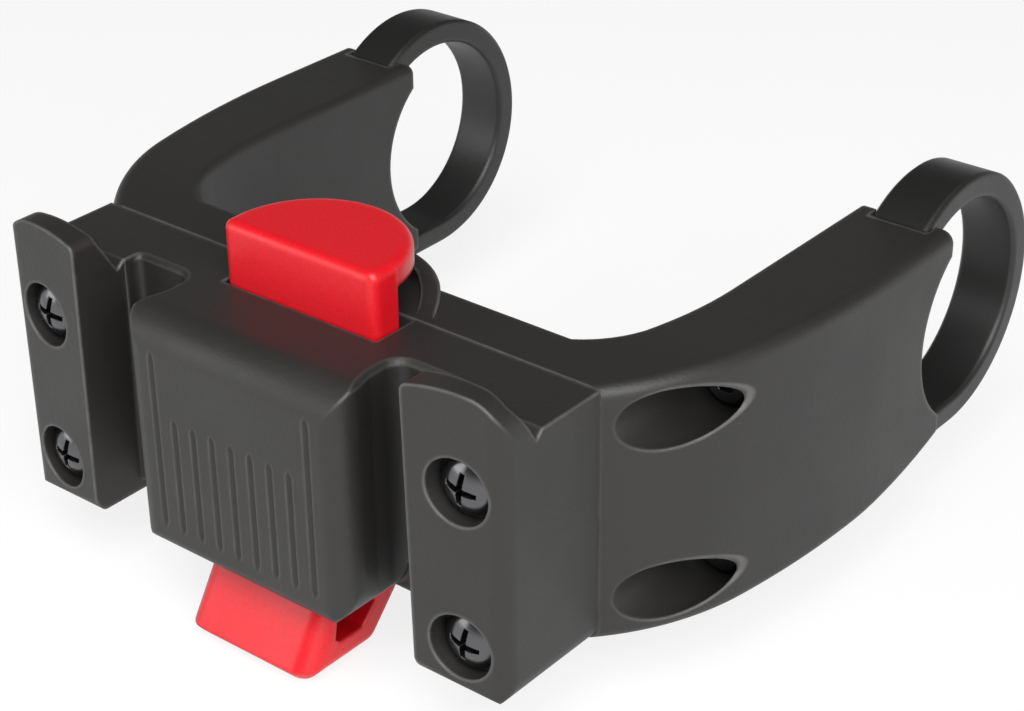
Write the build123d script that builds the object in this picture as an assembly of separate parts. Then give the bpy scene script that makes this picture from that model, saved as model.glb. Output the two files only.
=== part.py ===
"""Handlebar bag mount: a front housing with bag rails and a sprung red release, on a two-armed yoke.

Frame: the origin is on the handlebar axis midway between the arms. X runs along the handlebar,
Y from the bag side towards the rider, and Z up. Lengths are in millimetres.
"""
import os
from math import cos, radians, sin, sqrt

from build123d import *

# handlebar and clamp straps
bar_radius = 15.9
strap_bore_clearance = 0.2
strap_thickness = 3.8
strap_width = 9.0
strap_side_clearance = 0.3
strap_slot_clearance = 0.3
strap_edge_chamfer = 0.5
strap_leave_angle = 123.0
strap_hole_spare = 1.0
strap_travel = 1.5

# strap lugs, where the clamp screws pull
lug_height = 8.4
lug_length = 12.0
lug_rear_y = -19.0
upper_lug_z = 10.0
lower_lug_z = -16.0
lug_channel_front_y = -44.5

# arms of the yoke
arm_inner_x = 42.0
arm_outer_x = 57.4
arm_end_y = -9.8
arm_top_z = 16.4
arm_end_bottom_z = -16.8
arm_outer_round = 1.8
arm_inner_round = 1.2
saddle_clearance = 0.2
arm_straight_y = -26.0
arm_inner_straight_y = -42.0
top_rise_length = 17.0

# how the arms flare: a long arc next to the straight end, then a shorter one on to the body
outer_flare_radius = 135.0
outer_flare_turn = 12.3
inner_flare_radius = 58.0
inner_flare_turn = 15.1
belly_flat_length = 42.6
belly_flat_rise = 1.9

# body shared by housing and yoke
seam_y = -73.4
seam_gap = 0.1
bridge_rear_y = -65.2
bridge_corner_x = 33.5
body_half_width = 44.2
body_top_z = 15.4
body_bottom_z = -22.7

# rail flanges of the housing
flange_front_y = -93.8
flange_inner_x = 29.2
flange_top_z = 21.5
flange_shoulder_z = 20.4
flange_top_thickness = 4.2
flange_root_thickness = 7.8
flange_notch_depth = 1.2
flange_sweep = 1.4
flange_corner_round = 5.4
flange_small_round = 1.2
flange_foot_round = 3.2
flange_bottom_round = 3.8
flange_draft = 0.9
flange_notch_drop = 1.5
body_side_round = 2.6

# centre block and rail slots
block_front_y = -95.0
block_half_width = 19.4
block_bottom_z = -20.4
block_top_round = 5.2
block_corner_round = 3.4
block_foot_round = 5.0
block_bottom_round = 2.0
slot_back_y = -82.2
slot_inner_round = 2.6
slot_outer_round = 1.2
slot_neck_relief = 0.9
slot_neck_length = 5.2
slot_neck_slope = 3.6
slot_rim = 0.7
slot_rim_lean = 45.0

# grip grooves on the block
groove_count = 9
groove_pitch = 3.5
groove_radius = 0.62
groove_depth = 0.42
groove_run_out = 1.6
groove_bottom_z = -16.0
groove_short_top_z = 0.4
groove_long_top_z = 9.6

# assembly screws, from the front into the yoke
assembly_screw_edge = 7.0
assembly_upper_z = 7.6
assembly_lower_z = -15.4
assembly_shank_radius = 2.0
assembly_head_radius = 4.1
assembly_head_height = 2.7
assembly_recess_radius = 4.75
assembly_recess_depth = 3.9
assembly_screw_length = 24.0
screw_clearance = 0.3
thread_clearance = 0.03
cross_arm_length = 5.0
cross_arm_width = 1.0
cross_depth = 1.5
cross_taper = 12.0
assembly_tip_chamfer = 0.8
assembly_bore_spare = 1.5
head_flatness = 1.35
head_turn = 8.0

# clamp screws and their nuts
clamp_pocket_radius = 4.3
clamp_seat_y = -50.0
clamp_head_radius = 3.5
clamp_head_height = 4.0
clamp_shank_radius = 2.0
clamp_screw_length = 29.0
clamp_socket_width = 3.0
clamp_socket_depth = 2.2
clamp_head_chamfer = 0.4
nut_width = 7.0
nut_thickness = 3.2
nut_rear_gap = 4.6
nut_side_clearance = 0.1

# red release slider
pad_radius = 13.6
pad_centre_y = -78.0
pad_top_z = 24.6
pad_thickness = 3.4
pad_edge_round = 1.3
pad_corner_round = 1.4
web_front_y = -80.8
web_thickness = 4.6
web_step_z = -17.0
slider_travel = 5.0
slider_clearance = 0.3
stop_ear_width = 3.0
stop_ear_height = 6.0
stop_ear_top_z = 2.0
stop_ear_gap = 0.05
hook_half_width = 11.5
hook_front_y = -95.3
hook_corner_round = 3.0
hook_floor = 3.4
hook_top_gap = 0.9
hook_bottom_z = -32.4
hook_lip_slope = 6.2
hook_lip_top = 1.2
hook_toe_height = 1.1
hook_toe_length = 0.9
hook_throat_chamfer = 0.9
hook_heel_radius = 2.8
hook_back_run = 6.7
hook_back_drop = 2.5
hook_back_round = 3.2
hook_bottom_round = 1.6
guide_end_gap = 0.6

# return spring and the guard behind the pad
spring_y = -69.2
spring_radius = 3.1
spring_wire_radius = 0.35
spring_turns = 7
spring_wire_sides = 8
spring_bore_clearance = 0.4
spring_floor_z = -3.0
spring_seat_gap = 0.02
spigot_clearance = 0.4
spigot_length = 2.5
guard_clearance = 0.7
guard_wall = 2.6
guard_top_z = 17.6
guard_slope_y = -66.0
guard_bottom_z = -12.0
guard_round = 0.8
guard_slope_start = 0.8

ring_inner = bar_radius + strap_bore_clearance
ring_outer = ring_inner + strap_thickness
ring_middle = (ring_inner + ring_outer) / 2
strap_x = (arm_inner_x + arm_outer_x) / 2
assembly_screw_x = body_half_width - assembly_screw_edge
web_rear_y = web_front_y + web_thickness
pad_bottom_z = pad_top_z - pad_thickness
overlap = 0.5
run_past = 1.0


def solid_box(x0, x1, y0, y1, z0, z1):
    centre = Pos((x0 + x1) / 2, (y0 + y1) / 2, (z0 + z1) / 2)
    return centre * Box(x1 - x0, y1 - y0, z1 - z0)


def prism_x(edges, x0, x1):
    """A closed outline in Y and Z, made solid from x0 to x1."""
    face = make_face(edges)
    return Pos(x0, 0, 0) * extrude(Plane.YZ * face, amount=x1 - x0)


def prism_z(edges, z0, z1):
    """A closed outline in X and Y, made solid from z0 to z1."""
    return Pos(0, 0, z0) * extrude(make_face(edges), amount=z1 - z0)


def outline(points):
    return Polyline(*points, close=True)


def along_y(x, y, z):
    """Places a piece built on its own Z axis so that it runs along +Y from the point."""
    return Pos(x, y, z) * Rot(-90, 0, 0)


def bore(x, y, z, radius, length):
    """A round cut that runs along +Y from the point."""
    return along_y(x, y, z) * Cylinder(radius, length, align=(Align.CENTER, Align.CENTER, Align.MIN))


def edges_near(solid, keep):
    return [edge for edge in solid.edges() if keep(edge @ 0.5)]


def is_at(vertex, point):
    return abs(vertex.X - point[0]) < 0.01 and abs(vertex.Y - point[1]) < 0.01


def mirrored_pair(solid):
    return solid + mirror(solid, about=Plane.YZ)


# front housing
def flange():
    """One rail flange with the side of the body behind it, on the right."""
    foot_x = flange_inner_x + flange_draft
    front = outline(
        [
            (foot_x, body_bottom_z),
            (body_half_width, body_bottom_z),
            (body_half_width, flange_shoulder_z),
            (flange_inner_x, flange_shoulder_z),
        ]
    )
    crown = ThreePointArc(
        (flange_inner_x, flange_shoulder_z),
        ((flange_inner_x + body_half_width) / 2, flange_top_z),
        (body_half_width, flange_shoulder_z),
    )
    shoulder = Line((body_half_width, flange_shoulder_z), (flange_inner_x, flange_shoulder_z))
    face = make_face(front) + make_face([crown, shoulder])
    outer_top = [v for v in face.vertices() if v.Y > 0 and v.X > body_half_width - 0.1]
    face = fillet(outer_top, flange_corner_round)
    outer_foot = [v for v in face.vertices() if v.Y < 0 and v.X > body_half_width - 0.1]
    face = fillet(outer_foot, flange_foot_round)
    inner = [v for v in face.vertices() if v.X < foot_x + 0.1]
    face = fillet(inner, flange_small_round)
    plate = Pos(0, seam_y, 0) * extrude(Plane.XZ * face, amount=seam_y - flange_front_y)
    crest_y = flange_front_y + flange_top_thickness
    notch_y = flange_front_y + flange_root_thickness
    side = make_face(
        outline(
            [
                (flange_front_y, body_bottom_z),
                (flange_front_y, flange_top_z + run_past),
                (crest_y, flange_top_z + run_past),
                (crest_y, flange_top_z - flange_notch_drop),
                (notch_y, body_top_z - flange_notch_depth),
                (notch_y + flange_notch_depth, body_top_z),
                (seam_y, body_top_z),
                (seam_y, body_bottom_z),
            ]
        )
    )
    bottom_front = [v for v in side.vertices() if v.Y < 0 and v.X < flange_front_y + 0.1]
    side = fillet(bottom_front, flange_bottom_round)
    plan = make_face(
        outline(
            [
                (flange_inner_x - run_past, flange_front_y),
                (flange_inner_x, flange_front_y),
                (body_half_width, flange_front_y + flange_sweep),
                (body_half_width, seam_y),
                (flange_inner_x - run_past, seam_y),
            ]
        )
    )
    corner = [v for v in plan.vertices() if v.X > body_half_width - 0.1 and v.Y < seam_y - run_past]
    plan = fillet(corner, body_side_round)
    width = body_half_width - flange_inner_x + run_past
    plate &= Pos(flange_inner_x - run_past, 0, 0) * extrude(Plane.YZ * side, amount=width)
    tall = flange_top_z - body_bottom_z
    return plate & (Pos(0, 0, body_bottom_z) * extrude(plan, amount=tall))


def slot_plan():
    """The right rail slot seen from above, with its hooked back corner at the block."""
    reach = block_front_y - run_past
    neck = block_half_width - slot_neck_relief
    points = outline(
        [
            (block_half_width, reach),
            (flange_inner_x, reach),
            (flange_inner_x, slot_back_y),
            (neck, slot_back_y),
            (neck, slot_back_y - slot_neck_length),
            (block_half_width, slot_back_y - slot_neck_length - slot_neck_slope),
        ]
    )
    face = make_face(points)
    inner = [v for v in face.vertices() if abs(v.Y - slot_back_y) < 0.1 and v.X < neck + 0.1]
    face = fillet(inner, slot_inner_round)
    outer = [v for v in face.vertices() if abs(v.Y - slot_back_y) < 0.1 and v.X > flange_inner_x - 0.1]
    return fillet(outer, slot_outer_round)


def edge_bar(radius, length):
    """What a square edge loses when it is rounded, for an edge along Z at the origin facing -X and -Y."""
    side = radius + run_past
    middle = side / 2 - run_past
    corner = Pos(middle, middle, 0) * Box(side, side, length)
    return corner - Pos(radius, radius, 0) * Cylinder(radius, length + 2 * run_past)


def centre_block():
    block = solid_box(
        -block_half_width,
        block_half_width,
        block_front_y,
        seam_y,
        block_bottom_z,
        body_top_z,
    )
    tall = 2 * (body_top_z - block_bottom_z)
    wide = 3 * block_half_width
    upright = Pos(-block_half_width, block_front_y, 0) * edge_bar(block_corner_round, tall)
    block -= mirrored_pair(upright)
    top_front = Pos(0, block_front_y, body_top_z) * Rot(0, 270, 90)
    block -= top_front * edge_bar(block_top_round, wide)
    bottom_front = Pos(0, block_front_y, block_bottom_z) * Rot(0, 90, 90)
    block -= bottom_front * edge_bar(block_bottom_round, wide)
    return block


def lower_edges(half_width, bottom_z, radius, front_y, rear_y):
    """What rounding takes off the two lower edges of a piece centred on X, from front to rear."""
    corner = Pos(-half_width, (front_y + rear_y) / 2, bottom_z) * Rot(90, 0, 0)
    return mirrored_pair(corner * edge_bar(radius, rear_y - front_y))


def grip_grooves():
    grooves = []
    axis_y = block_front_y - groove_radius + groove_depth
    for index in range(groove_count):
        x = (index - (groove_count - 1) / 2) * groove_pitch
        end = index in (0, groove_count - 1)
        top = groove_long_top_z if end else groove_short_top_z
        length = top - groove_bottom_z
        bar = Pos(x, axis_y, (top + groove_bottom_z) / 2) * Cylinder(groove_radius, length)
        tip = Cone(groove_radius, 0, groove_run_out, align=(Align.CENTER, Align.CENTER, Align.MIN))
        bar += Pos(x, axis_y, top) * tip
        bar += Pos(x, axis_y, groove_bottom_z) * Rot(180, 0, 0) * tip
        grooves.append(bar)
    return grooves


def screw_places():
    return [
        (side, level, side_sign * assembly_screw_x, z)
        for side, side_sign in (("left", -1), ("right", 1))
        for level, z in (("upper", assembly_upper_z), ("lower", assembly_lower_z))
    ]


def slider_recess():
    """The channel open to the back in which the release slider runs."""
    half = pad_radius + slider_clearance
    front = web_front_y - slider_clearance
    low = body_bottom_z - run_past
    channel = solid_box(-half, half, front, seam_y + run_past, low, body_top_z + run_past)
    ear_half = pad_radius + stop_ear_width + slider_clearance
    ear_top = stop_ear_top_z + stop_ear_gap
    ear_bottom = stop_ear_top_z - stop_ear_height - slider_travel - stop_ear_gap
    return channel + solid_box(-ear_half, ear_half, front, seam_y + run_past, ear_bottom, ear_top)


def make_housing():
    middle = flange_inner_x + flange_draft + overlap
    wall_front = slot_back_y - slot_inner_round
    wall = solid_box(-middle, middle, wall_front, seam_y, block_bottom_z, body_top_z)
    housing = wall + mirrored_pair(flange()) + centre_block()
    tall = flange_top_z - body_bottom_z + 2 * run_past
    slot = Pos(0, 0, body_bottom_z - run_past) * extrude(slot_plan(), amount=tall)
    housing -= mirrored_pair(slot)
    rim = extrude(slot_plan(), amount=slot_rim + run_past, taper=-slot_rim_lean)
    rim = Pos(0, 0, body_top_z - slot_rim) * rim
    rim &= solid_box(0, flange_inner_x, 2 * block_front_y, seam_y, body_bottom_z, flange_top_z)
    housing -= mirrored_pair(rim)
    front = block_front_y - run_past
    housing -= lower_edges(block_half_width, block_bottom_z, block_foot_round, front, slot_back_y)
    for groove in grip_grooves():
        housing -= groove
    for side, level, x, z in screw_places():
        depth = flange_front_y + assembly_recess_depth - front
        housing -= bore(x, front, z, assembly_recess_radius, depth)
        through = seam_y + run_past - front
        housing -= bore(x, front, z, assembly_shank_radius + screw_clearance, through)
    return housing - slider_recess()


# rear yoke with both arms
def flare(start, radius, turn, end):
    """Two tangent arcs from a point where a side runs straight along -Y to a corner nearer the middle."""
    long_arc = JernArc(start, (0, -1), radius, -turn)
    return [long_arc, TangentArc(long_arc @ 1, end, tangent=long_arc % 1)]


def yoke_plan():
    """Half of the yoke seen from above, on the right."""
    body_corner = (body_half_width, seam_y)
    outer_end = (arm_outer_x, arm_straight_y)
    inner_start = (arm_inner_x, arm_inner_straight_y)
    bridge_corner = (bridge_corner_x, bridge_rear_y)
    return [
        Line((0, seam_y), body_corner),
        *flare(outer_end, outer_flare_radius, outer_flare_turn, body_corner),
        Line(outer_end, (arm_outer_x, arm_end_y)),
        Line((arm_outer_x, arm_end_y), (arm_inner_x, arm_end_y)),
        Line((arm_inner_x, arm_end_y), inner_start),
        *flare(inner_start, inner_flare_radius, inner_flare_turn, bridge_corner),
        Line(bridge_corner, (0, bridge_rear_y)),
        Line((0, bridge_rear_y), (0, seam_y)),
    ]


def yoke_side():
    """The yoke seen from its side: level top, bottom that sweeps up to the arm's end."""
    body_top = (seam_y, body_top_z)
    top_start = (seam_y + top_rise_length, arm_top_z)
    end_top = (arm_end_y, arm_top_z)
    end_bottom = (arm_end_y, arm_end_bottom_z)
    body_bottom = (seam_y, body_bottom_z)
    belly = Line(body_bottom, (seam_y + belly_flat_length, body_bottom_z + belly_flat_rise))
    return [
        TangentArc(top_start, body_top, tangent=(-1, 0)),
        Line(top_start, end_top),
        Line(end_top, end_bottom),
        belly,
        TangentArc(belly @ 1, end_bottom, tangent=belly % 1),
        Line(body_bottom, body_top),
    ]


def spring_guard():
    """The round boss behind the thumb pad, with a raised wall around the pad's path."""
    inner = pad_radius + guard_clearance
    outer = inner + guard_wall
    height = guard_top_z - guard_bottom_z
    boss = Pos(0, pad_centre_y, guard_bottom_z + height / 2) * Cylinder(outer, height)
    boss = boss.fillet(guard_round, boss.edges().filter_by(GeomType.CIRCLE))
    well = guard_top_z - body_top_z + run_past
    boss -= Pos(0, pad_centre_y, body_top_z + well / 2) * Cylinder(inner, well)
    seam = seam_y + seam_gap
    rear = pad_centre_y + outer + run_past
    side = outline(
        [
            (seam, guard_bottom_z - run_past),
            (seam, body_top_z),
            (seam + guard_slope_start, body_top_z),
            (guard_slope_y, guard_top_z),
            (rear, guard_top_z),
            (rear, guard_bottom_z - run_past),
        ]
    )
    return boss & prism_x(side, -outer - run_past, outer + run_past)


def strap_profile(margin=0.0):
    """The strap's ring and its two legs in Y and Z, as faces that overlap, each grown by the margin."""
    half = strap_thickness / 2 + margin
    angle = radians(strap_leave_angle)
    outward = Vector(cos(angle), sin(angle))
    down_leg = Vector(-sin(angle), cos(angle))
    leave = outward * ring_middle
    far = 4 * ring_outer
    front_wedge = outline(
        [
            (0, 0),
            tuple(outward * 2 * far)[:2],
            (-2 * far, 2 * far),
            (-2 * far, -far),
            (0, -far),
        ]
    )
    ring = Circle(ring_middle + half) - Circle(ring_middle - half) - make_face(front_wedge)
    run = (leave.Y - upper_lug_z) / -down_leg.Y + half / 2
    end = leave + down_leg * run
    upper_leg = outline(
        [
            tuple(leave + outward * half)[:2],
            tuple(end + outward * half)[:2],
            tuple(end - outward * half)[:2],
            tuple(leave - outward * half)[:2],
        ]
    )
    leg_front_y = lug_rear_y - overlap
    lower_leg = outline(
        [
            (0, -ring_middle + half),
            (0, -ring_middle - half),
            (leg_front_y, -ring_middle - half),
            (leg_front_y, -ring_middle + half),
        ]
    )
    return [ring, make_face(upper_leg), make_face(lower_leg)]


def strap_channels():
    """Room in the right arm for the strap's ring, legs and lugs and for their travel."""
    width = strap_width + 2 * strap_side_clearance
    left = strap_x - width / 2
    shift = strap_travel + strap_slot_clearance
    ring, upper_leg, lower_leg = strap_profile(strap_slot_clearance)
    swept = [ring, Pos(shift, 0) * ring]
    for leg in (upper_leg, lower_leg):
        drawn = Pos(shift, 0) * leg
        swept.append(make_hull(leg.edges() + drawn.edges()))
    channels = [Pos(left, 0, 0) * extrude(Plane.YZ * face, amount=width) for face in swept]
    tall = lug_height / 2 + strap_slot_clearance
    for z in (upper_lug_z, lower_lug_z):
        rear = lug_rear_y + shift
        channels.append(solid_box(left, left + width, lug_channel_front_y, rear, z - tall, z + tall))
    room = channels[0]
    for channel in channels[1:]:
        room += channel
    return room


def make_yoke():
    blank = mirrored_pair(prism_z(yoke_plan(), body_bottom_z - run_past, arm_top_z + run_past))
    yoke = blank & prism_x(yoke_side(), -arm_outer_x - run_past, arm_outer_x + run_past)

    def lengthwise(p):
        return seam_y + run_past < p.Y < arm_end_y - run_past and abs(p.Z) > bar_radius / 2

    def outer_edge(p):
        share = min(1, (p.Y - seam_y) / (arm_straight_y - seam_y))
        chord_x = body_half_width + share * (arm_outer_x - body_half_width)
        return lengthwise(p) and abs(p.X) > chord_x - overlap

    def inner_edge(p):
        return lengthwise(p) and abs(p.X) < arm_inner_x + overlap

    yoke = yoke.fillet(arm_outer_round, edges_near(yoke, outer_edge))
    yoke = yoke.fillet(arm_inner_round, edges_near(yoke, inner_edge))
    yoke += spring_guard()
    yoke -= Rot(0, 90, 0) * Cylinder(bar_radius + saddle_clearance, 3 * arm_outer_x)
    yoke += solid_box(
        -pad_radius,
        pad_radius,
        web_rear_y + slider_clearance,
        seam_y + overlap,
        body_bottom_z + guide_end_gap,
        body_top_z - guide_end_gap,
    )
    spring_bore = spring_radius + spring_wire_radius + spring_bore_clearance
    bore_height = guard_top_z - spring_floor_z + run_past
    yoke -= Pos(0, spring_y, spring_floor_z + bore_height / 2) * Cylinder(spring_bore, bore_height)
    yoke -= mirrored_pair(strap_channels())
    screw_reach = flange_front_y + assembly_recess_depth + assembly_screw_length + assembly_bore_spare
    front = seam_y - run_past
    for side, level, x, z in screw_places():
        yoke -= bore(x, front, z, assembly_shank_radius + thread_clearance, screw_reach - front)
    for side, level, x, z in lug_places():
        yoke -= bore(x, front, z, clamp_pocket_radius, clamp_seat_y - front)
        through = lug_channel_front_y + run_past - front
        yoke -= bore(x, front, z, clamp_shank_radius + screw_clearance, through)
    return yoke


# clamp strap with its two lugs
def lug_places():
    return [
        (side, level, side_sign * strap_x, z)
        for side, side_sign in (("left", -1), ("right", 1))
        for level, z in (("upper", upper_lug_z), ("lower", lower_lug_z))
    ]


def make_strap():
    faces = strap_profile()
    for z in (upper_lug_z, lower_lug_z):
        faces.append(Pos(lug_rear_y - lug_length / 2, z) * Rectangle(lug_length, lug_height))
    side = faces[0]
    for face in faces[1:]:
        side += face
    left = strap_x - strap_width / 2
    strap = Pos(left, 0, 0) * extrude(Plane.YZ * side, amount=strap_width)

    def on_rim(p):
        return abs(abs(p.X - strap_x) - strap_width / 2) < 0.01

    rims = [e for e in edges_near(strap, on_rim) if e.length > ring_outer]
    strap = strap.chamfer(strap_edge_chamfer, None, rims)
    slot_front, slot_rear = nut_span()
    half = nut_width / 2 + nut_side_clearance
    hole_start = lug_rear_y - lug_length - run_past
    hole_end = clamp_seat_y + clamp_screw_length + strap_hole_spare
    for z in (upper_lug_z, lower_lug_z):
        hole = clamp_shank_radius + screw_clearance
        strap -= bore(strap_x, hole_start, z, hole, hole_end - hole_start)
        strap -= solid_box(
            left - run_past,
            strap_x + half,
            slot_front - nut_side_clearance,
            slot_rear + nut_side_clearance,
            z - half,
            z + half,
        )
    return strap


def nut_span():
    """Where the nuts begin and end along Y."""
    rear = lug_rear_y - nut_rear_gap
    return rear - nut_thickness, rear


def make_nut(x, z):
    half = nut_width / 2
    front, rear = nut_span()
    nut = solid_box(x - half, x + half, front, rear, z - half, z + half)
    length = nut_thickness + 2 * run_past
    return nut - bore(x, front - run_past, z, clamp_shank_radius + thread_clearance, length)


def make_clamp_screw(x, z):
    """A socket head screw, built with its head below its own origin and its shank above."""
    shank = Cylinder(
        clamp_shank_radius,
        clamp_screw_length,
        align=(Align.CENTER, Align.CENTER, Align.MIN),
    )
    head = Cylinder(
        clamp_head_radius,
        clamp_head_height,
        align=(Align.CENTER, Align.CENTER, Align.MAX),
    )
    rim = head.edges().filter_by(GeomType.CIRCLE).sort_by(Axis.Z)[:1]
    head = head.chamfer(clamp_head_chamfer, None, rim)
    socket = extrude(RegularPolygon(clamp_socket_width / sqrt(3), 6), amount=clamp_socket_depth)
    screw = head + shank - Pos(0, 0, -clamp_head_height) * socket
    return along_y(x, clamp_seat_y, z) * screw


def make_assembly_screw(x, z):
    """A pan head cross recess screw, built with its head below its own origin."""
    shank = Cylinder(
        assembly_shank_radius,
        assembly_screw_length,
        align=(Align.CENTER, Align.CENTER, Align.MIN),
    )
    tip = shank.edges().filter_by(GeomType.CIRCLE).sort_by(Axis.Z)[-1:]
    shank = shank.chamfer(assembly_tip_chamfer, None, tip)
    dome_radius = (assembly_head_radius**2 + assembly_head_height**2) / (2 * assembly_head_height)
    dome_radius *= head_flatness
    rim = Cylinder(
        assembly_head_radius,
        assembly_head_height,
        align=(Align.CENTER, Align.CENTER, Align.MAX),
    )
    head = rim & (Pos(0, 0, dome_radius - assembly_head_height) * Sphere(dome_radius))
    arm = extrude(Rectangle(cross_arm_length, cross_arm_width), amount=cross_depth, taper=cross_taper)
    cross = arm + Rot(0, 0, 90) * arm
    screw = head + shank - Pos(0, 0, -assembly_head_height) * cross
    return along_y(x, flange_front_y + assembly_recess_depth, z) * Rot(0, 0, head_turn) * screw


# red release slider
def hook_outline():
    """The latch hook from its side: slanted lip, floor, and a curved back that rises to the web."""
    lip_top = block_bottom_z - hook_top_gap
    floor_top = hook_bottom_z + hook_floor
    web_front = (web_front_y, body_bottom_z)
    web_rear = (web_rear_y, body_bottom_z)
    shoulder = (web_rear_y, body_bottom_z - hook_back_drop)
    heel = (web_rear_y - hook_back_run, hook_bottom_z)
    toe_bottom = (hook_front_y + hook_toe_length, hook_bottom_z)
    toe = (hook_front_y, hook_bottom_z + hook_toe_height)
    lip_front = (hook_front_y + hook_lip_slope, lip_top)
    lip_rear = (hook_front_y + hook_lip_slope + hook_lip_top, lip_top)
    throat_y = hook_front_y + hook_lip_slope
    throat = (throat_y, floor_top + hook_throat_chamfer)
    floor_front = (throat_y + hook_throat_chamfer, floor_top)
    floor_rear = (web_front_y - hook_heel_radius, floor_top)
    corner = (web_front_y, floor_top + hook_heel_radius)
    side = make_face(
        outline(
            [
                web_front,
                web_rear,
                shoulder,
                heel,
                toe_bottom,
                toe,
                lip_front,
                lip_rear,
                throat,
                floor_front,
                floor_rear,
                corner,
            ]
        )
    )
    back = [v for v in side.vertices() if is_at(v, shoulder) or is_at(v, heel)]
    return fillet(back, hook_back_round)


def make_slider():
    plate_width = 2 * pad_radius
    web_middle_y = (web_front_y + web_rear_y) / 2
    upper = Pos(0, web_middle_y) * Rectangle(plate_width, web_thickness)
    wall = Pos(0, 0, web_step_z) * extrude(upper, amount=pad_top_z - web_step_z)
    disc = Pos(0, pad_centre_y) * Circle(pad_radius)
    half_moon = disc - Pos(0, pad_centre_y - pad_radius) * Rectangle(4 * pad_radius, 2 * pad_radius)
    front_strip = pad_centre_y - web_front_y + overlap
    half_moon += Pos(0, web_front_y + front_strip / 2) * Rectangle(plate_width, front_strip)
    slider = wall + Pos(0, 0, pad_bottom_z) * extrude(half_moon, amount=pad_thickness)

    def upright(p):
        at_side = abs(abs(p.X) - pad_radius) < 0.01
        return at_side and abs(p.Y - web_front_y) < 0.01 and p.Z < pad_top_z - run_past

    def hook_side(p):
        at_side = abs(abs(p.X) - hook_half_width) < 0.01
        return at_side and p.Y < hook_front_y + hook_lip_slope / 2 + 0.1 and p.Z > hook_bottom_z + overlap

    slider = slider.fillet(pad_corner_round, edges_near(slider, upright))
    slider = slider.fillet(pad_edge_round, edges_near(slider, lambda p: p.Z > pad_top_z - 0.01))
    lower = solid_box(
        -hook_half_width,
        hook_half_width,
        web_front_y,
        web_rear_y,
        body_bottom_z - 0.01,
        web_step_z + overlap,
    )
    hook = Pos(-hook_half_width, 0, 0) * extrude(Plane.YZ * hook_outline(), amount=2 * hook_half_width)
    hook = hook.fillet(hook_corner_round, edges_near(hook, hook_side))
    hook -= lower_edges(hook_half_width, hook_bottom_z, hook_bottom_round, hook_front_y, web_rear_y)
    slider = slider + lower + hook
    ear_half = pad_radius + stop_ear_width
    ear_bottom = stop_ear_top_z - stop_ear_height
    slider += solid_box(-ear_half, ear_half, web_front_y, web_rear_y, ear_bottom, stop_ear_top_z)
    spigot_radius = spring_radius - spring_wire_radius - spigot_clearance
    spigot = Pos(0, spring_y, pad_bottom_z - spigot_length / 2 + overlap / 2)
    return slider + spigot * Cylinder(spigot_radius, spigot_length + overlap)


def make_spring():
    bottom = spring_floor_z + spring_wire_radius + spring_seat_gap
    top = pad_bottom_z - spring_wire_radius - spring_seat_gap
    height = top - bottom
    coil = Helix(pitch=height / spring_turns, height=height, radius=spring_radius)
    section = Plane(coil @ 0, z_dir=coil % 0) * RegularPolygon(spring_wire_radius, spring_wire_sides)
    return Pos(0, spring_y, bottom) * sweep(section, path=coil)


def main():
    nodes = {
        "housing": make_housing(),
        "yoke": make_yoke(),
        "release_slider": make_slider(),
        "return_spring": make_spring(),
    }
    strap = make_strap()
    nodes["strap_right"] = strap
    nodes["strap_left"] = mirror(strap, about=Plane.YZ)
    for side, level, x, z in screw_places():
        nodes["assembly_screw_%s_%s" % (side, level)] = make_assembly_screw(x, z)
    for side, level, x, z in lug_places():
        nodes["clamp_screw_%s_%s" % (side, level)] = make_clamp_screw(x, z)
        nodes["clamp_nut_%s_%s" % (side, level)] = make_nut(x, z)
    os.makedirs("parts", exist_ok=True)
    for name, shape in nodes.items():
        solids = shape.solids()
        print(name, len(solids), round(shape.volume, 1))
        export_step(solids[0] if len(solids) == 1 else shape, "parts/%s.step" % name)


main()
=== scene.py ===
"""Finishes, small parts and the studio of a bicycle handlebar bag mount."""
import math

import bmesh
import bpy
from bpy.props import FloatProperty, FloatVectorProperty, PointerProperty
from mathutils import Matrix, Vector


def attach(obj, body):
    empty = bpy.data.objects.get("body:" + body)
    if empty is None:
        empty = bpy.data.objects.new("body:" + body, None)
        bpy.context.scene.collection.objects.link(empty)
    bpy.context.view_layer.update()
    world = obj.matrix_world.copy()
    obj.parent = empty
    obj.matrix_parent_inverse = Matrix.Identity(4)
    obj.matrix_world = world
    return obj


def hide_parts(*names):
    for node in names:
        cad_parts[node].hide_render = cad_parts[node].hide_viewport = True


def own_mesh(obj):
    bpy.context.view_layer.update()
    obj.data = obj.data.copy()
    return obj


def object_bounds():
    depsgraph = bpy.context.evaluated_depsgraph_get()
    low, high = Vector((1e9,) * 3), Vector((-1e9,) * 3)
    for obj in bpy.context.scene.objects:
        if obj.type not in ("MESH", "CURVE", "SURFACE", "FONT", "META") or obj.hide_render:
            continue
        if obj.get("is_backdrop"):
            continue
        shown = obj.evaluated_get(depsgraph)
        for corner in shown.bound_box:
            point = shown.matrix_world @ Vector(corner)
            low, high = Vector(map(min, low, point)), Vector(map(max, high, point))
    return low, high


bl_info = {
    "name": "Handlebar bag mount",
    "version": (1, 0, 0),
    "blender": (4, 5, 0),
    "location": "View3D > Sidebar > Bag mount",
    "description": "Dresses the bag mount's mouldings, straps, release and screws, and its studio",
    "category": "Object",
}

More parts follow.
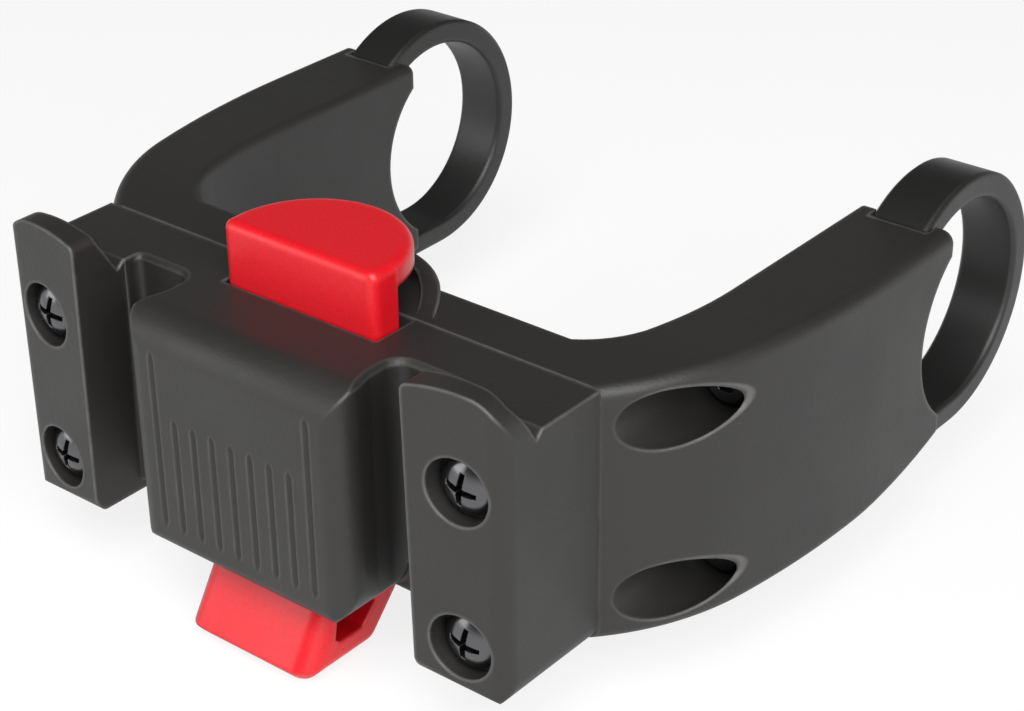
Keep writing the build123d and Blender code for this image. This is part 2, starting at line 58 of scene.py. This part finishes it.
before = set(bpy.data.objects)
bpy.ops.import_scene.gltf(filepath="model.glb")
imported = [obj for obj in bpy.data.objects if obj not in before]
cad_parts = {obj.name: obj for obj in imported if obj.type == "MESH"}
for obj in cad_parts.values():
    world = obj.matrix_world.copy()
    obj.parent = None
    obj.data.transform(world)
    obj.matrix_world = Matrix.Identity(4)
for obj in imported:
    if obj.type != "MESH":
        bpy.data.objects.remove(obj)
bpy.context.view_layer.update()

MM = 0.001
MERGE_DISTANCE = 0.001 * MM

# how the mould grain and its sheen are mixed
FINE_GRAIN_RATIO = 1.7
CELL_SHARE = 0.7
FINE_SHARE = 0.5
SPECKLE_SWING = 0.5
SPECKLE_FLOOR = 0.75
SHEEN_SWING = 0.24

# how far the painted edge highlight reaches in from an outer edge, and how it is broken up
HIGHLIGHT_REACH = 0.55
HIGHLIGHT_GAIN = 2.0
HIGHLIGHT_FLOOR = 0.25

# turning marks on the steel parts
MARK_SWING = 0.2
MARK_DEPTH = 0.01 * MM
STEEL_EDGE = 0.25 * MM
WIRE_EDGE = 0.05 * MM

# where the lamps stand and how large they are, in lengths of the object's diagonal
KEY_PLACE = Vector((3.0, -1.8, 2.0))
TOP_PLACE = Vector((1.2, -2.0, 3.0))
FILL_PLACE = Vector((-2.2, -2.8, 1.2))
KEY_SIZE = 2.2
TOP_SIZE = 2.0
FILL_SIZE = 2.0

# the room: sine of the elevation where its walls end and where its ceiling starts
WALL_END = 0.02
CEILING_START = 0.30
FLOOR_HALF = 3.0
FLOOR_GLOW = 0.82


# sizes and colours that a user would change
class MouldingFinish(bpy.types.PropertyGroup):
    black: FloatVectorProperty(
        name="Black plastic",
        description="Colour of the housing and the yoke",
        subtype="COLOR",
        size=4,
        min=0.0,
        max=1.0,
        default=(0.017, 0.0158, 0.0150, 1.0),
    )
    # painted highlight: a paler colour laid along the outer edges of the black mouldings and
    # straps
    edge_highlight_black: FloatVectorProperty(
        name="Black plastic edge highlight",
        description="Paler colour painted on the black mouldings' outer edges as a highlight",
        subtype="COLOR",
        size=4,
        min=0.0,
        max=1.0,
        default=(0.150, 0.145, 0.138, 1.0),
    )
    strap_black: FloatVectorProperty(
        name="Strap plastic",
        description="Colour of the two straps",
        subtype="COLOR",
        size=4,
        min=0.0,
        max=1.0,
        default=(0.010, 0.0096, 0.0092, 1.0),
    )
    red: FloatVectorProperty(
        name="Release plastic",
        description="Colour of the release slider",
        subtype="COLOR",
        size=4,
        min=0.0,
        max=1.0,
        default=(0.62, 0.004, 0.011, 1.0),
    )
    # painted highlight: a paler red laid along the outer edges of the release slider
    edge_highlight_red: FloatVectorProperty(
        name="Release plastic edge highlight",
        description="Paler red painted on the release slider's outer edges as a highlight",
        subtype="COLOR",
        size=4,
        min=0.0,
        max=1.0,
        default=(0.86, 0.09, 0.10, 1.0),
    )
    grain_size: FloatProperty(
        name="Mould grain",
        description="Distance between the bumps of the spark-eroded mould grain",
        default=0.45 * MM,
        min=0.05 * MM,
        max=3.0 * MM,
        unit="LENGTH",
    )
    grain_depth: FloatProperty(
        name="Grain depth",
        description="Height of the bumps of the mould grain",
        default=0.035 * MM,
        min=0.0,
        max=0.3 * MM,
        unit="LENGTH",
    )
    edge_radius: FloatProperty(
        name="Edge softness",
        description="Radius to which a moulded edge looks rounded",
        default=0.9 * MM,
        min=0.0,
        max=3.0 * MM,
        unit="LENGTH",
    )
    roughness: FloatProperty(
        name="Roughness",
        description="Roughness of the black mouldings",
        default=0.5,
        min=0.0,
        max=1.0,
        subtype="FACTOR",
    )


class MetalFinish(bpy.types.PropertyGroup):
    screw_black: FloatVectorProperty(
        name="Blackened steel",
        description="Colour of the blackened screws",
        subtype="COLOR",
        size=4,
        min=0.0,
        max=1.0,
        default=(0.13, 0.13, 0.135, 1.0),
    )
    zinc: FloatVectorProperty(
        name="Zinc plating",
        description="Colour of the plated nuts",
        subtype="COLOR",
        size=4,
        min=0.0,
        max=1.0,
        default=(0.56, 0.57, 0.58, 1.0),
    )
    wire: FloatVectorProperty(
        name="Spring wire",
        description="Colour of the return spring",
        subtype="COLOR",
        size=4,
        min=0.0,
        max=1.0,
        default=(0.50, 0.51, 0.53, 1.0),
    )


class StudioSettings(bpy.types.PropertyGroup):
    camera_place: FloatVectorProperty(
        name="Camera place",
        description="Where the camera stands",
        subtype="TRANSLATION",
        unit="LENGTH",
        size=3,
        default=(0.1940, -0.2733, 0.1594),
    )
    azimuth: FloatProperty(
        name="Azimuth",
        description="Direction from which the camera looks, round the upright axis",
        default=math.radians(39.34),
        subtype="ANGLE",
        unit="ROTATION",
    )
    elevation: FloatProperty(
        name="Elevation",
        description="Height of the camera above the horizon",
        default=math.radians(29.09),
        subtype="ANGLE",
        unit="ROTATION",
    )
    roll: FloatProperty(
        name="Roll",
        description="Turn of the camera about its own line of sight",
        default=math.radians(-0.68),
        subtype="ANGLE",
        unit="ROTATION",
    )
    lens: FloatProperty(
        name="Lens",
        description="Focal length on a sensor 36 mm wide",
        default=82.17,
        min=10.0,
        max=400.0,
    )
    floor_gap: FloatProperty(
        name="Floor gap",
        description="Distance from the latch hook down to the floor",
        default=1.0 * MM,
        min=0.0,
        unit="LENGTH",
    )
    key_power: FloatProperty(
        name="Key light",
        description="Power of the large soft light at the right",
        default=3.0,
        min=0.0,
        unit="POWER",
    )
    top_power: FloatProperty(
        name="Top light",
        description="Power of the soft light overhead",
        default=3.4,
        min=0.0,
        unit="POWER",
    )
    fill_power: FloatProperty(
        name="Fill light",
        description="Power of the weak light at the left front",
        default=1.0,
        min=0.0,
        unit="POWER",
    )
    horizon_strength: FloatProperty(
        name="Wall light",
        description="Strength of the even light from the walls round the object",
        default=0.8,
        min=0.0,
        max=2.0,
    )
    ceiling_strength: FloatProperty(
        name="Ceiling light",
        description="Strength of the even light from the dim ceiling",
        default=0.10,
        min=0.0,
        max=2.0,
    )


# effects shared by several materials
def new_group(name, inputs, outputs):
    group = bpy.data.node_groups.new(name, "ShaderNodeTree")
    for label, kind, value in inputs:
        socket = group.interface.new_socket(label, in_out="INPUT", socket_type=kind)
        if value is not None:
            socket.default_value = value
    for label, kind in outputs:
        group.interface.new_socket(label, in_out="OUTPUT", socket_type=kind)
    entry = group.nodes.new("NodeGroupInput")
    leave = group.nodes.new("NodeGroupOutput")
    return group, entry, leave


def math_node(group, operation, first, second, clamp=False):
    node = group.nodes.new("ShaderNodeMath")
    node.operation = operation
    node.use_clamp = clamp
    for socket, value in zip(node.inputs, (first, second)):
        if isinstance(value, (int, float)):
            socket.default_value = value
        else:
            group.links.new(value, socket)
    return node.outputs[0]


def mould_grain_group():
    """Spark-eroded mould grain: a height for bump and a mask of slow sheen changes."""
    group, entry, leave = new_group(
        "mould_grain",
        [
            ("Vector", "NodeSocketVector", None),
            ("Scale", "NodeSocketFloat", 2000.0),
            ("Sheen Scale", "NodeSocketFloat", 60.0),
        ],
        [
            ("Height", "NodeSocketFloat"),
            ("Sheen", "NodeSocketFloat"),
            ("Speckle", "NodeSocketFloat"),
        ],
    )
    coarse = group.nodes.new("ShaderNodeTexVoronoi")
    coarse.feature = "SMOOTH_F1"
    coarse.inputs["Smoothness"].default_value = 0.6
    fine = group.nodes.new("ShaderNodeTexNoise")
    fine.inputs["Detail"].default_value = 3.0
    fine.inputs["Roughness"].default_value = 0.6
    slow = group.nodes.new("ShaderNodeTexNoise")
    slow.inputs["Detail"].default_value = 4.0
    slow.inputs["Roughness"].default_value = 0.55
    for texture in (coarse, fine, slow):
        group.links.new(entry.outputs["Vector"], texture.inputs["Vector"])
    group.links.new(entry.outputs["Scale"], coarse.inputs["Scale"])
    fine_scale = math_node(group, "MULTIPLY", entry.outputs["Scale"], FINE_GRAIN_RATIO)
    group.links.new(fine_scale, fine.inputs["Scale"])
    group.links.new(entry.outputs["Sheen Scale"], slow.inputs["Scale"])
    cells = math_node(group, "MULTIPLY", coarse.outputs["Distance"], CELL_SHARE)
    grains = math_node(group, "MULTIPLY", fine.outputs["Fac"], FINE_SHARE)
    height = math_node(group, "ADD", cells, grains)
    group.links.new(height, leave.inputs["Height"])
    group.links.new(slow.outputs["Fac"], leave.inputs["Sheen"])
    group.links.new(fine.outputs["Fac"], leave.inputs["Speckle"])
    return group


def soft_edges_group():
    """A normal that rounds sharp edges, and a mask of the outer edges for a painted highlight,
    broken up in patches.
    """
    group, entry, leave = new_group(
        "soft_edges",
        [
            ("Vector", "NodeSocketVector", None),
            ("Radius", "NodeSocketFloat", 0.0005),
            ("Break Scale", "NodeSocketFloat", 300.0),
        ],
        [("Normal", "NodeSocketVector"), ("Edge", "NodeSocketFloat")],
    )
    rounded = group.nodes.new("ShaderNodeBevel")
    rounded.samples = 8
    group.links.new(entry.outputs["Radius"], rounded.inputs["Radius"])
    inward = group.nodes.new("ShaderNodeAmbientOcclusion")
    inward.samples = 8
    inward.inside = True
    inward.only_local = True
    reach = math_node(group, "MULTIPLY", entry.outputs["Radius"], HIGHLIGHT_REACH)
    group.links.new(reach, inward.inputs["Distance"])
    # outer edges found by inward occlusion; this mask places the painted edge highlight
    outer = math_node(group, "SUBTRACT", 1.0, inward.outputs["AO"])
    strong = math_node(group, "MULTIPLY", outer, HIGHLIGHT_GAIN, clamp=True)
    patches = group.nodes.new("ShaderNodeTexNoise")
    patches.inputs["Detail"].default_value = 3.0
    group.links.new(entry.outputs["Vector"], patches.inputs["Vector"])
    group.links.new(entry.outputs["Break Scale"], patches.inputs["Scale"])
    uneven = math_node(group, "ADD", patches.outputs["Fac"], HIGHLIGHT_FLOOR)
    broken = math_node(group, "MULTIPLY", strong, uneven, clamp=True)
    group.links.new(rounded.outputs["Normal"], leave.inputs["Normal"])
    group.links.new(broken, leave.inputs["Edge"])
    return group


def shared_group(name):
    makers = {"mould_grain": mould_grain_group, "soft_edges": soft_edges_group}
    return bpy.data.node_groups.get(name) or makers[name]()


def new_material(name):
    material = bpy.data.materials.new(name)
    material.use_nodes = True
    return material, material.node_tree, material.node_tree.nodes["Principled BSDF"]


def placed_group(tree, name):
    node = tree.nodes.new("ShaderNodeGroup")
    node.node_tree = shared_group(name)
    return node


def moulded_plastic(
    name, colour, highlight_colour, roughness, grain_size, grain_depth, edge_radius, highlight_share
):
    """Moulded plastic with grain, slow changes of sheen, and a painted highlight that makes the
    outer edges paler.
    """
    material, tree, shader = new_material(name)
    links = tree.links
    place = tree.nodes.new("ShaderNodeTexCoord")
    grain = placed_group(tree, "mould_grain")
    edges = placed_group(tree, "soft_edges")
    links.new(place.outputs["Object"], grain.inputs["Vector"])
    links.new(place.outputs["Object"], edges.inputs["Vector"])
    grain.inputs["Scale"].default_value = 1.0 / grain_size
    edges.inputs["Radius"].default_value = edge_radius
    # painted highlight: the outer edges are mixed towards a paler colour
    highlighted = tree.nodes.new("ShaderNodeMix")
    highlighted.data_type = "RGBA"
    highlighted.inputs["A"].default_value = colour
    highlighted.inputs["B"].default_value = highlight_colour
    links.new(math_node(tree, "MULTIPLY", edges.outputs["Edge"], highlight_share), highlighted.inputs["Factor"])
    tint = tree.nodes.new("ShaderNodeHueSaturation")
    brighter = math_node(tree, "MULTIPLY", grain.outputs["Speckle"], SPECKLE_SWING)
    links.new(math_node(tree, "ADD", brighter, SPECKLE_FLOOR), tint.inputs["Value"])
    links.new(highlighted.outputs["Result"], tint.inputs["Color"])
    links.new(tint.outputs["Color"], shader.inputs["Base Color"])
    sheen = math_node(tree, "MULTIPLY", grain.outputs["Sheen"], SHEEN_SWING)
    smoothest = roughness - SHEEN_SWING / 2
    links.new(math_node(tree, "ADD", sheen, smoothest, clamp=True), shader.inputs["Roughness"])
    bump = tree.nodes.new("ShaderNodeBump")
    bump.inputs["Strength"].default_value = 1.0
    bump.inputs["Distance"].default_value = grain_depth
    links.new(grain.outputs["Height"], bump.inputs["Height"])
    links.new(edges.outputs["Normal"], bump.inputs["Normal"])
    links.new(bump.outputs["Normal"], shader.inputs["Normal"])
    return material


def finished_steel(name, colour, roughness, brush_scale, edge_radius):
    """Plated or blackened steel with fine turning marks and softened edges."""
    material, tree, shader = new_material(name)
    links = tree.links
    place = tree.nodes.new("ShaderNodeTexCoord")
    edges = placed_group(tree, "soft_edges")
    links.new(place.outputs["Object"], edges.inputs["Vector"])
    edges.inputs["Radius"].default_value = edge_radius
    marks = tree.nodes.new("ShaderNodeTexNoise")
    marks.inputs["Scale"].default_value = brush_scale
    marks.inputs["Detail"].default_value = 4.0
    links.new(place.outputs["Object"], marks.inputs["Vector"])
    shader.inputs["Base Color"].default_value = colour
    shader.inputs["Metallic"].default_value = 1.0
    uneven = math_node(tree, "MULTIPLY", marks.outputs["Fac"], MARK_SWING)
    smoothest = roughness - MARK_SWING / 2
    links.new(math_node(tree, "ADD", uneven, smoothest, clamp=True), shader.inputs["Roughness"])
    bump = tree.nodes.new("ShaderNodeBump")
    bump.inputs["Strength"].default_value = 0.4
    bump.inputs["Distance"].default_value = MARK_DEPTH
    links.new(marks.outputs["Fac"], bump.inputs["Height"])
    links.new(edges.outputs["Normal"], bump.inputs["Normal"])
    links.new(bump.outputs["Normal"], shader.inputs["Normal"])
    return material


def dress(nodes, material):
    """Gives the CAD nodes the material."""
    for name in nodes:
        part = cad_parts[name]
        if not part.material_slots:
            part.data.materials.append(material)
        for place in part.material_slots:
            place.material = material


def nodes_named(*starts):
    """The CAD nodes whose names start with one of the words."""
    found = [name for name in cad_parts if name.startswith(starts)]
    if not found:
        raise RuntimeError("no node starts with " + " or ".join(starts))
    return sorted(found)


def sprung_coil(material):
    """A merged copy of the return spring, shaded smooth and hung on the bracket body."""
    shape = bmesh.new()
    shape.from_mesh(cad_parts["return_spring"].data)
    bmesh.ops.remove_doubles(shape, verts=shape.verts, dist=MERGE_DISTANCE)
    for face in shape.faces:
        face.smooth = True
    mesh = bpy.data.meshes.new("coil_spring")
    shape.to_mesh(mesh)
    shape.free()
    old_normals = mesh.attributes.get("custom_normal")
    if old_normals:
        mesh.attributes.remove(old_normals)
    mesh.materials.clear()
    mesh.materials.append(material)
    coil = bpy.data.objects.new("coil_spring", mesh)
    bpy.context.collection.objects.link(coil)
    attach(coil, "bracket")
    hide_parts("return_spring")
    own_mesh(coil)


# operators
class BAGMOUNT_OT_mouldings(bpy.types.Operator):
    """Give the housing and the yoke their black grained plastic"""

    bl_idname = "bagmount.mouldings"
    bl_label = "Black mouldings"

    def execute(self, context):
        finish = context.scene.bagmount_mouldings
        plastic = moulded_plastic(
            "black_plastic",
            finish.black,
            finish.edge_highlight_black,
            finish.roughness,
            finish.grain_size,
            finish.grain_depth,
            finish.edge_radius,
            # share of the painted edge highlight mixed into the colour
            highlight_share=0.75,
        )
        dress(["housing", "yoke"], plastic)
        return {"FINISHED"}


class BAGMOUNT_OT_straps(bpy.types.Operator):
    """Give the straps their smoother black plastic"""

    bl_idname = "bagmount.straps"
    bl_label = "Clamp straps"

    def execute(self, context):
        finish = context.scene.bagmount_mouldings
        plastic = moulded_plastic(
            "strap_plastic",
            finish.strap_black,
            finish.edge_highlight_black,
            finish.roughness - 0.08,
            finish.grain_size * 1.4,
            finish.grain_depth * 0.5,
            finish.edge_radius,
            # share of the painted edge highlight mixed into the colour
            highlight_share=0.35,
        )
        dress(nodes_named("strap_"), plastic)
        return {"FINISHED"}


class BAGMOUNT_OT_release(bpy.types.Operator):
    """Give the release slider its red plastic"""

    bl_idname = "bagmount.release"
    bl_label = "Release slider"

    def execute(self, context):
        finish = context.scene.bagmount_mouldings
        plastic = moulded_plastic(
            "red_plastic",
            finish.red,
            finish.edge_highlight_red,
            finish.roughness - 0.12,
            finish.grain_size * 1.6,
            finish.grain_depth * 0.35,
            finish.edge_radius,
            # share of the painted edge highlight mixed into the colour
            highlight_share=0.5,
        )
        dress(["release_slider"], plastic)
        return {"FINISHED"}


class BAGMOUNT_OT_fasteners(bpy.types.Operator):
    """Give the screws, nuts and spring their steel finishes"""

    bl_idname = "bagmount.fasteners"
    bl_label = "Screws, nuts and spring"

    def execute(self, context):
        finish = context.scene.bagmount_metals
        black = finished_steel("blackened_steel", finish.screw_black, 0.24, 900.0, STEEL_EDGE)
        zinc = finished_steel("zinc_steel", finish.zinc, 0.38, 700.0, STEEL_EDGE)
        wire = finished_steel("spring_wire", finish.wire, 0.3, 1500.0, WIRE_EDGE)
        dress(nodes_named("assembly_screw", "clamp_screw"), black)
        dress(nodes_named("clamp_nut"), zinc)
        sprung_coil(wire)
        return {"FINISHED"}


def soft_light(name, place, target, width, power):
    """A square lamp that faces the target."""
    data = bpy.data.lights.new(name, "AREA")
    data.size = width
    data.energy = power
    lamp = bpy.data.objects.new(name, data)
    bpy.context.collection.objects.link(lamp)
    lamp.location = place
    aim = Vector(target) - Vector(place)
    lamp.rotation_euler = aim.to_track_quat("-Z", "Y").to_euler()


def studio_camera(studio):
    """The camera at the photograph's viewing angle."""
    cos_a, sin_a = math.cos(studio.azimuth), math.sin(studio.azimuth)
    cos_e, sin_e = math.cos(studio.elevation), math.sin(studio.elevation)
    back = Vector((sin_a * cos_e, -cos_a * cos_e, sin_e))
    right = Vector((cos_a, sin_a, 0.0))
    up = back.cross(right)
    cos_r, sin_r = math.cos(studio.roll), math.sin(studio.roll)
    turned_right = cos_r * right + sin_r * up
    turned_up = cos_r * up - sin_r * right
    turn = Matrix((turned_right, turned_up, back)).transposed().to_4x4()
    data = bpy.data.cameras.new("camera")
    data.sensor_width = 36.0
    data.lens = studio.lens
    data.clip_start = 0.01
    data.clip_end = 20.0
    camera = bpy.data.objects.new("camera", data)
    bpy.context.collection.objects.link(camera)
    camera.matrix_world = Matrix.Translation(studio.camera_place) @ turn
    bpy.context.scene.camera = camera


def mirror_rays(tree, path):
    """One for a ray that left a glossy or a clear surface."""
    return math_node(
        tree,
        "MAXIMUM",
        path.outputs["Is Glossy Ray"],
        path.outputs["Is Transmission Ray"],
    )


def white_room(wall_strength, ceiling_strength):
    """White walls under a dim ceiling, and plain white where the camera sees past the floor."""
    world = bpy.data.worlds.new("white_room")
    world.use_nodes = True
    tree = world.node_tree
    room = tree.nodes["Background"]
    room.inputs["Color"].default_value = (1.0, 1.0, 1.0, 1.0)
    way = tree.nodes.new("ShaderNodeTexCoord")
    parts = tree.nodes.new("ShaderNodeSeparateXYZ")
    tree.links.new(way.outputs["Generated"], parts.inputs["Vector"])
    fall = tree.nodes.new("ShaderNodeMapRange")
    fall.interpolation_type = "SMOOTHSTEP"
    fall.inputs["From Min"].default_value = WALL_END
    fall.inputs["From Max"].default_value = CEILING_START
    fall.inputs["To Min"].default_value = wall_strength
    fall.inputs["To Max"].default_value = ceiling_strength
    tree.links.new(parts.outputs["Z"], fall.inputs["Value"])
    tree.links.new(fall.outputs["Result"], room.inputs["Strength"])
    white = tree.nodes.new("ShaderNodeBackground")
    white.inputs["Color"].default_value = (1.0, 1.0, 1.0, 1.0)
    white.inputs["Strength"].default_value = 1.0
    path = tree.nodes.new("ShaderNodeLightPath")
    level = math_node(tree, "LESS_THAN", parts.outputs["Z"], WALL_END)
    low = math_node(tree, "MULTIPLY", mirror_rays(tree, path), level)
    choose = tree.nodes.new("ShaderNodeMixShader")
    seen = math_node(tree, "MAXIMUM", path.outputs["Is Camera Ray"], low)
    tree.links.new(seen, choose.inputs["Fac"])
    tree.links.new(room.outputs["Background"], choose.inputs[1])
    tree.links.new(white.outputs["Background"], choose.inputs[2])
    tree.links.new(choose.outputs["Shader"], tree.nodes["World Output"].inputs["Surface"])
    bpy.context.scene.world = world


def white_floor(height):
    """A wide white floor that keeps the object's shadow."""
    mesh = bpy.data.meshes.new("floor")
    shape = bmesh.new()
    bmesh.ops.create_grid(shape, x_segments=8, y_segments=8, size=FLOOR_HALF)
    bmesh.ops.translate(shape, vec=(0.0, 0.0, height), verts=shape.verts)
    shape.to_mesh(mesh)
    shape.free()
    floor = bpy.data.objects.new("floor", mesh)
    bpy.context.collection.objects.link(floor)
    material, tree, shader = new_material("floor_white")
    shader.inputs["Base Color"].default_value = (0.95, 0.95, 0.95, 1.0)
    shader.inputs["Roughness"].default_value = 0.9
    shader.inputs["Specular IOR Level"].default_value = 0.1
    glow = tree.nodes.new("ShaderNodeEmission")
    glow.inputs["Strength"].default_value = 1.0
    path = tree.nodes.new("ShaderNodeLightPath")
    lift = tree.nodes.new("ShaderNodeMixShader")
    seen = math_node(tree, "MAXIMUM", path.outputs["Is Camera Ray"], mirror_rays(tree, path))
    seen = math_node(tree, "MULTIPLY", seen, FLOOR_GLOW)
    tree.links.new(seen, lift.inputs["Fac"])
    tree.links.new(shader.outputs["BSDF"], lift.inputs[1])
    tree.links.new(glow.outputs["Emission"], lift.inputs[2])
    tree.links.new(lift.outputs["Shader"], tree.nodes["Material Output"].inputs["Surface"])
    mesh.materials.append(material)
    floor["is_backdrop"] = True


class BAGMOUNT_OT_studio(bpy.types.Operator):
    """Set up the floor, the soft lights and the camera"""

    bl_idname = "bagmount.studio"
    bl_label = "Studio"

    def execute(self, context):
        studio = context.scene.bagmount_studio
        context.scene.view_settings.view_transform = "Standard"
        low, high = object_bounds()
        middle = (low + high) / 2
        white_floor(low.z - studio.floor_gap)
        white_room(studio.horizon_strength, studio.ceiling_strength)
        reach = (high - low).length
        lamps = (
            ("key_light", KEY_PLACE, KEY_SIZE, studio.key_power),
            ("top_light", TOP_PLACE, TOP_SIZE, studio.top_power),
            ("fill_light", FILL_PLACE, FILL_SIZE, studio.fill_power),
        )
        for name, place, size, power in lamps:
            soft_light(name, middle + place * reach, middle, size * reach, power)
        studio_camera(studio)
        return {"FINISHED"}


PIECE_OPERATORS = (
    BAGMOUNT_OT_mouldings,
    BAGMOUNT_OT_straps,
    BAGMOUNT_OT_release,
    BAGMOUNT_OT_fasteners,
    BAGMOUNT_OT_studio,
)


class BAGMOUNT_PT_panel(bpy.types.Panel):
    """Lists the bag mount's steps and settings"""

    bl_idname = "BAGMOUNT_PT_panel"
    bl_label = "Bag mount"
    bl_space_type = "VIEW_3D"
    bl_region_type = "UI"
    bl_category = "Bag mount"

    def draw(self, context):
        layout = self.layout
        for settings in ("bagmount_mouldings", "bagmount_metals", "bagmount_studio"):
            group = getattr(context.scene, settings)
            for name in group.bl_rna.properties.keys():
                if name not in ("rna_type", "name"):
                    layout.prop(group, name)
        for operator in PIECE_OPERATORS:
            layout.operator(operator.bl_idname)


GROUPS = {
    "bagmount_mouldings": MouldingFinish,
    "bagmount_metals": MetalFinish,
    "bagmount_studio": StudioSettings,
}


def register():
    for name, group in GROUPS.items():
        bpy.utils.register_class(group)
        setattr(bpy.types.Scene, name, PointerProperty(type=group))
    for item in PIECE_OPERATORS:
        bpy.utils.register_class(item)
    bpy.utils.register_class(BAGMOUNT_PT_panel)


def unregister():
    bpy.utils.unregister_class(BAGMOUNT_PT_panel)
    for item in reversed(PIECE_OPERATORS):
        bpy.utils.unregister_class(item)
    for name, group in reversed(list(GROUPS.items())):
        delattr(bpy.types.Scene, name)
        bpy.utils.unregister_class(group)


def main():
    register()
    bpy.ops.bagmount.mouldings()
    bpy.ops.bagmount.straps()
    bpy.ops.bagmount.release()
    bpy.ops.bagmount.fasteners()
    bpy.ops.bagmount.studio()


if __name__ == "__main__":
    main()
